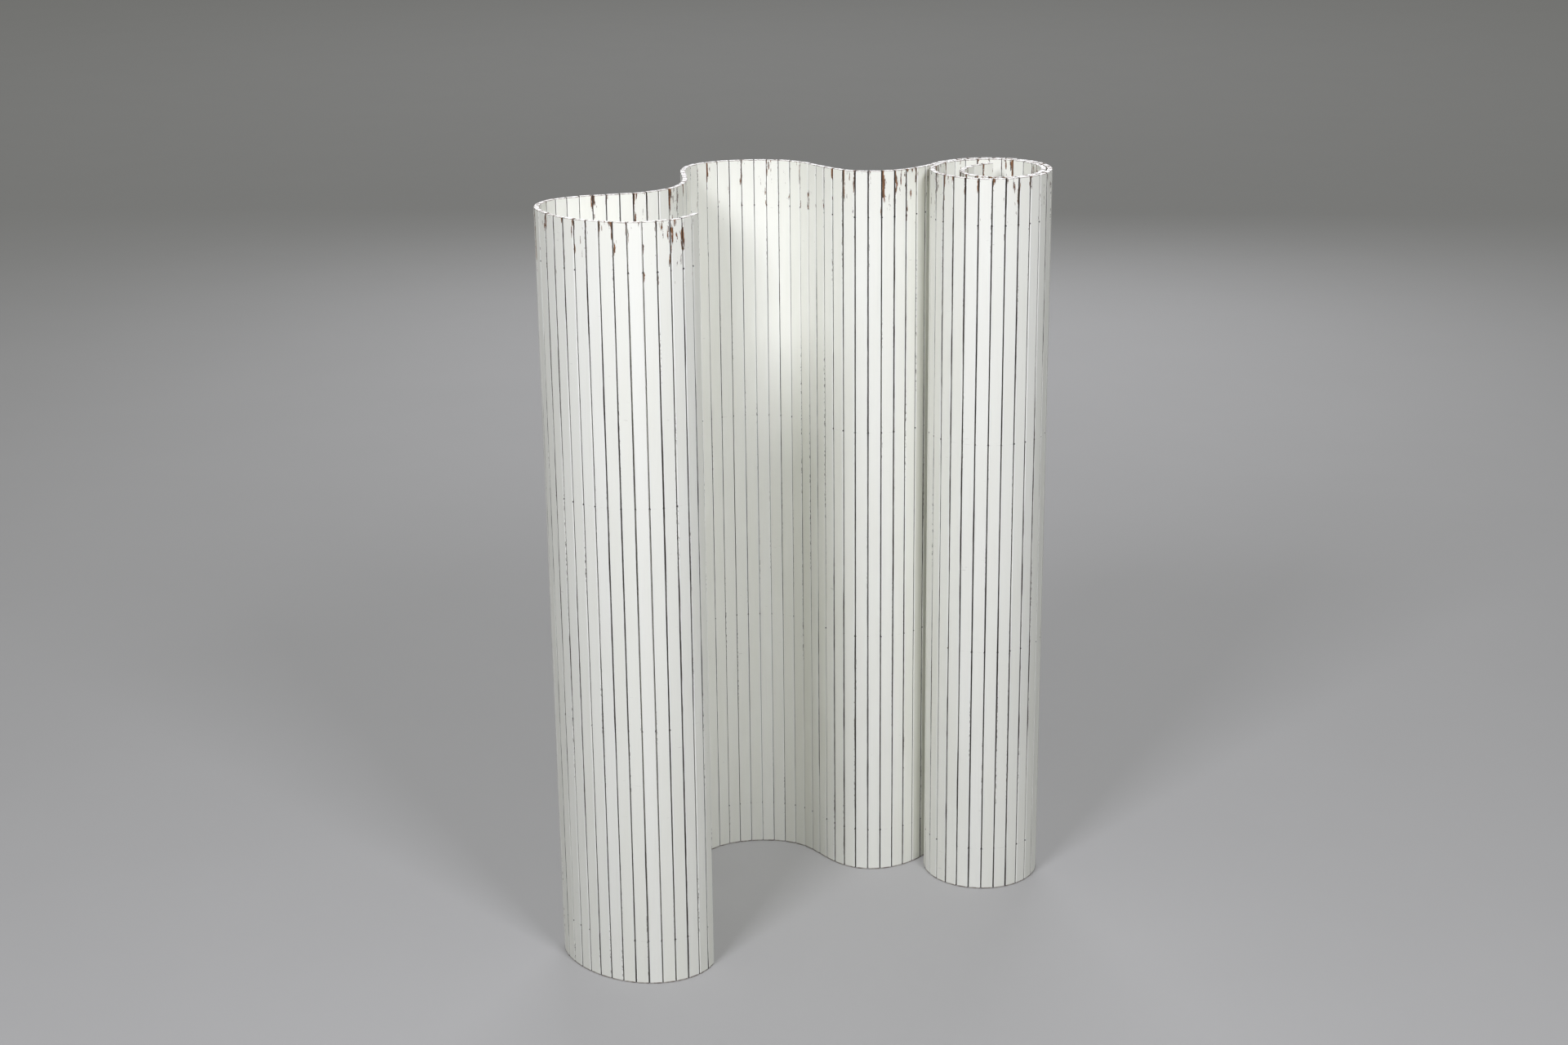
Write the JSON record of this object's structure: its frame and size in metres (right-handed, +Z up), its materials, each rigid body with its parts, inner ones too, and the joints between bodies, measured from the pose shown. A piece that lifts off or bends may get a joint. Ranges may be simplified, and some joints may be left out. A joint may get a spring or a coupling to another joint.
{
  "type": "flexible slat screen",
  "caption": "Free-standing flexible screen of narrow upright wooden slats strung on cables, curled in a wave that ends in a roll; it opens and rolls up",
  "frame": {"origin": "centre of the plan's bounding box, at floor level under the slats", "axes": "+Z up along the slats, +X to the right and +Y to the back as the picture shows the screen; the roll is at +X and the free curl at -X"},
  "size_m": [0.6544, 0.4298, 1],
  "materials": {
    "painted_slats": "off-white satin lacquer, worn and chipped at the edges and ends",
    "cable": "dull stranded steel wire",
    "sleeve": "plain pressed metal"
  },
  "bodies": {
    "group_01": {"slats_01": "painted_slats", "free_end_sleeves": "sleeve"},
    "group_02": {"slats_02": "painted_slats"},
    "group_03": {"slats_03": "painted_slats"},
    "group_04": {"slats_04": "painted_slats"},
    "group_05": {"slats_05": "painted_slats"},
    "group_06": {"slats_06": "painted_slats"},
    "group_07": {"slats_07": "painted_slats"},
    "group_08": {"slats_08": "painted_slats"},
    "group_09": {"slats_09": "painted_slats"},
    "group_10": {"slats_10": "painted_slats"},
    "group_11": {"slats_11": "painted_slats"},
    "group_12": {"slats_12": "painted_slats"},
    "group_13": {"slats_13": "painted_slats"},
    "group_14": {"slats_14": "painted_slats"},
    "group_15": {"slats_15": "painted_slats"},
    "group_16": {"slats_16": "painted_slats"},
    "group_17": {"slats_17": "painted_slats"},
    "group_18": {"slats_18": "painted_slats"},
    "group_19": {"slats_19": "painted_slats"},
    "group_20": {"slats_20": "painted_slats"},
    "group_21": {"slats_21": "painted_slats"},
    "group_22": {"slats_22": "painted_slats", "top_cable": "cable", "upper_cable": "cable", "lower_cable": "cable", "bottom_cable": "cable"},
    "group_23": {"slats_23": "painted_slats"},
    "group_24": {"slats_24": "painted_slats"},
    "group_25": {"slats_25": "painted_slats"},
    "group_26": {"slats_26": "painted_slats"},
    "group_27": {"slats_27": "painted_slats"},
    "group_28": {"slats_28": "painted_slats"},
    "group_29": {"slats_29": "painted_slats"},
    "group_30": {"slats_30": "painted_slats"},
    "group_31": {"slats_31": "painted_slats"},
    "group_32": {"slats_32": "painted_slats"},
    "group_33": {"slats_33": "painted_slats"},
    "group_34": {"slats_34": "painted_slats"},
    "group_35": {"slats_35": "painted_slats"},
    "group_36": {"slats_36": "painted_slats"},
    "group_37": {"slats_37": "painted_slats"},
    "group_38": {"slats_38": "painted_slats"},
    "group_39": {"slats_39": "painted_slats"},
    "group_40": {"slats_40": "painted_slats"},
    "group_41": {"slats_41": "painted_slats"},
    "group_42": {"slats_42": "painted_slats"},
    "group_43": {"slats_43": "painted_slats"},
    "group_44": {"slats_44": "painted_slats"},
    "group_45": {"slats_45": "painted_slats"},
    "group_46": {"slats_46": "painted_slats"},
    "group_47": {"slats_47": "painted_slats"},
    "group_48": {"slats_48": "painted_slats"},
    "group_49": {"slats_49": "painted_slats"},
    "group_50": {"slats_50": "painted_slats"},
    "group_51": {"slats_51": "painted_slats"},
    "group_52": {"slats_52": "painted_slats"},
    "group_53": {"slats_53": "painted_slats"},
    "group_54": {"slats_54": "painted_slats", "roll_end_sleeves": "sleeve"}
  },
  "joints": [
    {"name": "left_curl_joint_02", "type": "hinge", "parent": "group_02", "child": "group_01", "pos_m": [-0.1455, -0.18916, 0.5], "axis": [0, 0, -1], "range_deg": [0, 28.13]},
    {"name": "left_curl_joint_04", "type": "hinge", "parent": "group_03", "child": "group_02", "pos_m": [-0.17422, -0.20695, 0.5], "axis": [0, 0, -1], "range_deg": [0, 24.57]},
    {"name": "left_curl_joint_06", "type": "hinge", "parent": "group_04", "child": "group_03", "pos_m": [-0.20773, -0.21173, 0.5], "axis": [0, 0, -1], "range_deg": [0, 21.01]},
    {"name": "left_curl_joint_08", "type": "hinge", "parent": "group_05", "child": "group_04", "pos_m": [-0.24089, -0.20468, 0.5], "axis": [0, 0, -1], "range_deg": [0, 17.46]},
    {"name": "left_curl_joint_10", "type": "hinge", "parent": "group_06", "child": "group_05", "pos_m": [-0.27069, -0.18846, 0.5], "axis": [0, 0, -1], "range_deg": [0, 13.9]},
    {"name": "left_curl_joint_12", "type": "hinge", "parent": "group_07", "child": "group_06", "pos_m": [-0.29588, -0.16571, 0.5], "axis": [0, 0, -1], "range_deg": [0, 13.51]},
    {"name": "left_curl_joint_14", "type": "hinge", "parent": "group_08", "child": "group_07", "pos_m": [-0.31498, -0.13766, 0.5], "axis": [0, 0, -1], "range_deg": [0, 16.31]},
    {"name": "left_curl_joint_16", "type": "hinge", "parent": "group_09", "child": "group_08", "pos_m": [-0.32411, -0.10508, 0.5], "axis": [0, 0, -1], "range_deg": [0, 25.51]},
    {"name": "left_curl_opens", "type": "hinge", "parent": "group_10", "child": "group_09", "pos_m": [-0.31702, -0.07218, 0.5], "axis": [0, 0, -1], "range_deg": [0, 34.7]},
    {"name": "left_curl_joint_20", "type": "hinge", "parent": "group_11", "child": "group_10", "pos_m": [-0.29267, -0.04886, 0.5], "axis": [0, 0, -1], "range_deg": [0, 26.51]},
    {"name": "left_curl_joint_22", "type": "hinge", "parent": "group_12", "child": "group_11", "pos_m": [-0.26095, -0.03685, 0.5], "axis": [0, 0, -1], "range_deg": [0, 12.51]},
    {"name": "s_bend_joint_24", "type": "hinge", "parent": "group_13", "child": "group_12", "pos_m": [-0.22766, -0.02992, 0.5], "axis": [0, 0, -1], "range_deg": [-2.35, 0]},
    {"name": "s_bend_joint_26", "type": "hinge", "parent": "group_14", "child": "group_13", "pos_m": [-0.19548, -0.0192, 0.5], "axis": [0, 0, -1], "range_deg": [-19.66, 0]},
    {"name": "s_bend_joint_28", "type": "hinge", "parent": "group_15", "child": "group_14", "pos_m": [-0.16959, 0.00257, 0.5], "axis": [0, 0, -1], "range_deg": [-22.87, 0]},
    {"name": "s_bend_joint_30", "type": "hinge", "parent": "group_16", "child": "group_15", "pos_m": [-0.15399, 0.03261, 0.5], "axis": [0, 0, -1], "range_deg": [-21.37, 0]},
    {"name": "s_bend_joint_32", "type": "hinge", "parent": "group_17", "child": "group_16", "pos_m": [-0.1496, 0.06624, 0.5], "axis": [0, 0, -1], "range_deg": [-13.88, 0]},
    {"name": "s_bend_joint_34", "type": "hinge", "parent": "group_18", "child": "group_17", "pos_m": [-0.15201, 0.10014, 0.5], "axis": [0, 0, -1], "range_deg": [-4.39, 0]},
    {"name": "s_bend_joint_36", "type": "hinge", "parent": "group_19", "child": "group_18", "pos_m": [-0.15501, 0.134, 0.5], "axis": [0, 0, -1], "range_deg": [0, 11.13]},
    {"name": "s_bend_opens", "type": "hinge", "parent": "group_20", "child": "group_19", "pos_m": [-0.14888, 0.16725, 0.5], "axis": [0, 0, -1], "range_deg": [0, 28.6]},
    {"name": "s_bend_joint_40", "type": "hinge", "parent": "group_21", "child": "group_20", "pos_m": [-0.12709, 0.19299, 0.5], "axis": [0, 0, -1], "range_deg": [0, 26.99]},
    {"name": "s_bend_joint_42", "type": "hinge", "parent": "group_22", "child": "group_21", "pos_m": [-0.09634, 0.20717, 0.5], "axis": [0, 0, -1], "range_deg": [0, 19]},
    {"name": "wave_joint_44", "type": "hinge", "parent": "group_22", "child": "group_23", "pos_m": [-0.0627, 0.21175, 0.5], "axis": [0, 0, 1], "range_deg": [0, 16.91]},
    {"name": "wave_opens", "type": "hinge", "parent": "group_23", "child": "group_24", "pos_m": [-0.02912, 0.20712, 0.5], "axis": [0, 0, 1], "range_deg": [0, 22.1]},
    {"name": "wave_joint_48", "type": "hinge", "parent": "group_24", "child": "group_25", "pos_m": [0.00056, 0.1909, 0.5], "axis": [0, 0, 1], "range_deg": [0, 19.51]},
    {"name": "wave_joint_50", "type": "hinge", "parent": "group_25", "child": "group_26", "pos_m": [0.02204, 0.16461, 0.5], "axis": [0, 0, 1], "range_deg": [-4.14, 0]},
    {"name": "wave_joint_52", "type": "hinge", "parent": "group_26", "child": "group_27", "pos_m": [0.04299, 0.13786, 0.5], "axis": [0, 0, 1], "range_deg": [-20.64, 0]},
    {"name": "wave_joint_54", "type": "hinge", "parent": "group_27", "child": "group_28", "pos_m": [0.07053, 0.11826, 0.5], "axis": [0, 0, 1], "range_deg": [-31.37, 0]},
    {"name": "wave_joint_56", "type": "hinge", "parent": "group_28", "child": "group_29", "pos_m": [0.10411, 0.11513, 0.5], "axis": [0, 0, 1], "range_deg": [-24.8, 0]},
    {"name": "wave_joint_58", "type": "hinge", "parent": "group_29", "child": "group_30", "pos_m": [0.13566, 0.12731, 0.5], "axis": [0, 0, 1], "range_deg": [-18.23, 0]},
    {"name": "wave_joint_60", "type": "hinge", "parent": "group_30", "child": "group_31", "pos_m": [0.16127, 0.14955, 0.5], "axis": [0, 0, 1], "range_deg": [-11.66, 0]},
    {"name": "roll_opens", "type": "hinge", "parent": "group_31", "child": "group_32", "pos_m": [0.18112, 0.17712, 0.5], "axis": [0, 0, 1], "range_deg": [0, 30.4], "deforming": ["top_cable", "upper_cable", "lower_cable", "bottom_cable"]},
    {"name": "roll_joint_65", "type": "hinge", "parent": "group_32", "child": "group_33", "pos_m": [0.22333, 0.20442, 0.5], "axis": [0, 0, 1], "range_deg": [0, 30.72]},
    {"name": "roll_joint_68", "type": "hinge", "parent": "group_33", "child": "group_34", "pos_m": [0.2735, 0.20164, 0.5], "axis": [0, 0, 1], "range_deg": [0, 31.03]},
    {"name": "roll_joint_71", "type": "hinge", "parent": "group_34", "child": "group_35", "pos_m": [0.31221, 0.16963, 0.5], "axis": [0, 0, 1], "range_deg": [0, 31.36]},
    {"name": "roll_joint_74", "type": "hinge", "parent": "group_35", "child": "group_36", "pos_m": [0.32403, 0.12082, 0.5], "axis": [0, 0, 1], "range_deg": [0, 31.69]},
    {"name": "roll_joint_77", "type": "hinge", "parent": "group_36", "child": "group_37", "pos_m": [0.30395, 0.07482, 0.5], "axis": [0, 0, 1], "range_deg": [0, 32.04]},
    {"name": "roll_joint_80", "type": "hinge", "parent": "group_37", "child": "group_38", "pos_m": [0.25998, 0.05062, 0.5], "axis": [0, 0, 1], "range_deg": [0, 32.4]},
    {"name": "roll_joint_83", "type": "hinge", "parent": "group_38", "child": "group_39", "pos_m": [0.21046, 0.05863, 0.5], "axis": [0, 0, 1], "range_deg": [0, 32.76]},
    {"name": "roll_joint_86", "type": "hinge", "parent": "group_39", "child": "group_40", "pos_m": [0.17666, 0.09568, 0.5], "axis": [0, 0, 1], "range_deg": [0, 22.06]},
    {"name": "roll_joint_88", "type": "hinge", "parent": "group_40", "child": "group_41", "pos_m": [0.17079, 0.12895, 0.5], "axis": [0, 0, 1], "range_deg": [0, 22.23]},
    {"name": "roll_joint_90", "type": "hinge", "parent": "group_41", "child": "group_42", "pos_m": [0.18017, 0.1614, 0.5], "axis": [0, 0, 1], "range_deg": [0, 22.41]},
    {"name": "roll_joint_92", "type": "hinge", "parent": "group_42", "child": "group_43", "pos_m": [0.20297, 0.18632, 0.5], "axis": [0, 0, 1], "range_deg": [0, 22.59]},
    {"name": "roll_joint_94", "type": "hinge", "parent": "group_43", "child": "group_44", "pos_m": [0.23451, 0.19842, 0.5], "axis": [0, 0, 1], "range_deg": [0, 22.78]},
    {"name": "roll_joint_96", "type": "hinge", "parent": "group_44", "child": "group_45", "pos_m": [0.2681, 0.19502, 0.5], "axis": [0, 0, 1], "range_deg": [0, 22.97]},
    {"name": "roll_joint_98", "type": "hinge", "parent": "group_45", "child": "group_46", "pos_m": [0.2965, 0.17675, 0.5], "axis": [0, 0, 1], "range_deg": [0, 23.17]},
    {"name": "roll_joint_100", "type": "hinge", "parent": "group_46", "child": "group_47", "pos_m": [0.31338, 0.14751, 0.5], "axis": [0, 0, 1], "range_deg": [0, 23.37]},
    {"name": "roll_joint_102", "type": "hinge", "parent": "group_47", "child": "group_48", "pos_m": [0.31488, 0.11379, 0.5], "axis": [0, 0, 1], "range_deg": [0, 23.58]},
    {"name": "roll_joint_104", "type": "hinge", "parent": "group_48", "child": "group_49", "pos_m": [0.30053, 0.08324, 0.5], "axis": [0, 0, 1], "range_deg": [0, 23.79]},
    {"name": "roll_joint_106", "type": "hinge", "parent": "group_49", "child": "group_50", "pos_m": [0.27354, 0.06298, 0.5], "axis": [0, 0, 1], "range_deg": [0, 33.96]},
    {"name": "roll_joint_108", "type": "hinge", "parent": "group_50", "child": "group_51", "pos_m": [0.24006, 0.06305, 0.5], "axis": [0, 0, 1], "range_deg": [0, 33.96]},
    {"name": "roll_joint_110", "type": "hinge", "parent": "group_51", "child": "group_52", "pos_m": [0.21445, 0.08463, 0.5], "axis": [0, 0, 1], "range_deg": [0, 33.96]},
    {"name": "roll_joint_112", "type": "hinge", "parent": "group_52", "child": "group_53", "pos_m": [0.20871, 0.11762, 0.5], "axis": [0, 0, 1], "range_deg": [0, 31.13]},
    {"name": "roll_joint_114", "type": "hinge", "parent": "group_53", "child": "group_54", "pos_m": [0.22474, 0.14719, 0.5], "axis": [0, 0, 1], "range_deg": [0, 19.82]}
  ],
  "couplings": [
    {"joint": "left_curl_joint_02", "follows": "left_curl_opens", "ratio": 0.81012},
    {"joint": "left_curl_joint_04", "follows": "left_curl_opens", "ratio": 0.70765},
    {"joint": "left_curl_joint_06", "follows": "left_curl_opens", "ratio": 0.60519},
    {"joint": "left_curl_joint_08", "follows": "left_curl_opens", "ratio": 0.50272},
    {"joint": "left_curl_joint_10", "follows": "left_curl_opens", "ratio": 0.40026},
    {"joint": "left_curl_joint_12", "follows": "left_curl_opens", "ratio": 0.38905},
    {"joint": "left_curl_joint_14", "follows": "left_curl_opens", "ratio": 0.46974},
    {"joint": "left_curl_joint_16", "follows": "left_curl_opens", "ratio": 0.73487},
    {"joint": "left_curl_joint_20", "follows": "left_curl_opens", "ratio": 0.76369},
    {"joint": "left_curl_joint_22", "follows": "left_curl_opens", "ratio": 0.36023},
    {"joint": "s_bend_joint_24", "follows": "s_bend_opens", "ratio": -0.08151},
    {"joint": "s_bend_joint_26", "follows": "s_bend_opens", "ratio": -0.68705},
    {"joint": "s_bend_joint_28", "follows": "s_bend_opens", "ratio": -0.79913},
    {"joint": "s_bend_joint_30", "follows": "s_bend_opens", "ratio": -0.74672},
    {"joint": "s_bend_joint_32", "follows": "s_bend_opens", "ratio": -0.48472},
    {"joint": "s_bend_joint_34", "follows": "s_bend_opens", "ratio": -0.15284},
    {"joint": "s_bend_joint_36", "follows": "s_bend_opens", "ratio": 0.38865},
    {"joint": "s_bend_joint_40", "follows": "s_bend_opens", "ratio": 0.94323},
    {"joint": "s_bend_joint_42", "follows": "s_bend_opens", "ratio": 0.66376},
    {"joint": "wave_joint_44", "follows": "wave_opens", "ratio": 0.76471},
    {"joint": "wave_joint_48", "follows": "wave_opens", "ratio": 0.88235},
    {"joint": "wave_joint_50", "follows": "wave_opens", "ratio": -0.18665},
    {"joint": "wave_joint_52", "follows": "wave_opens", "ratio": -0.93326},
    {"joint": "wave_joint_54", "follows": "wave_opens", "ratio": -1.4189},
    {"joint": "wave_joint_56", "follows": "wave_opens", "ratio": -1.1215},
    {"joint": "wave_joint_58", "follows": "wave_opens", "ratio": -0.82418},
    {"joint": "wave_joint_60", "follows": "wave_opens", "ratio": -0.52683},
    {"joint": "roll_joint_65", "follows": "roll_opens", "ratio": 1.01},
    {"joint": "roll_joint_68", "follows": "roll_opens", "ratio": 1.0204},
    {"joint": "roll_joint_71", "follows": "roll_opens", "ratio": 1.031},
    {"joint": "roll_joint_74", "follows": "roll_opens", "ratio": 1.042},
    {"joint": "roll_joint_77", "follows": "roll_opens", "ratio": 1.0534},
    {"joint": "roll_joint_80", "follows": "roll_opens", "ratio": 1.0651},
    {"joint": "roll_joint_83", "follows": "roll_opens", "ratio": 1.0773},
    {"joint": "roll_joint_86", "follows": "roll_opens", "ratio": 0.72514},
    {"joint": "roll_joint_88", "follows": "roll_opens", "ratio": 0.73086},
    {"joint": "roll_joint_90", "follows": "roll_opens", "ratio": 0.73672},
    {"joint": "roll_joint_92", "follows": "roll_opens", "ratio": 0.74272},
    {"joint": "roll_joint_94", "follows": "roll_opens", "ratio": 0.74887},
    {"joint": "roll_joint_96", "follows": "roll_opens", "ratio": 0.75517},
    {"joint": "roll_joint_98", "follows": "roll_opens", "ratio": 0.76163},
    {"joint": "roll_joint_100", "follows": "roll_opens", "ratio": 0.76827},
    {"joint": "roll_joint_102", "follows": "roll_opens", "ratio": 0.77508},
    {"joint": "roll_joint_104", "follows": "roll_opens", "ratio": 0.78207},
    {"joint": "roll_joint_106", "follows": "roll_opens", "ratio": 1.1167},
    {"joint": "roll_joint_108", "follows": "roll_opens", "ratio": 1.1167},
    {"joint": "roll_joint_110", "follows": "roll_opens", "ratio": 1.1167},
    {"joint": "roll_joint_112", "follows": "roll_opens", "ratio": 1.0236},
    {"joint": "roll_joint_114", "follows": "roll_opens", "ratio": 0.65141}
  ]
}
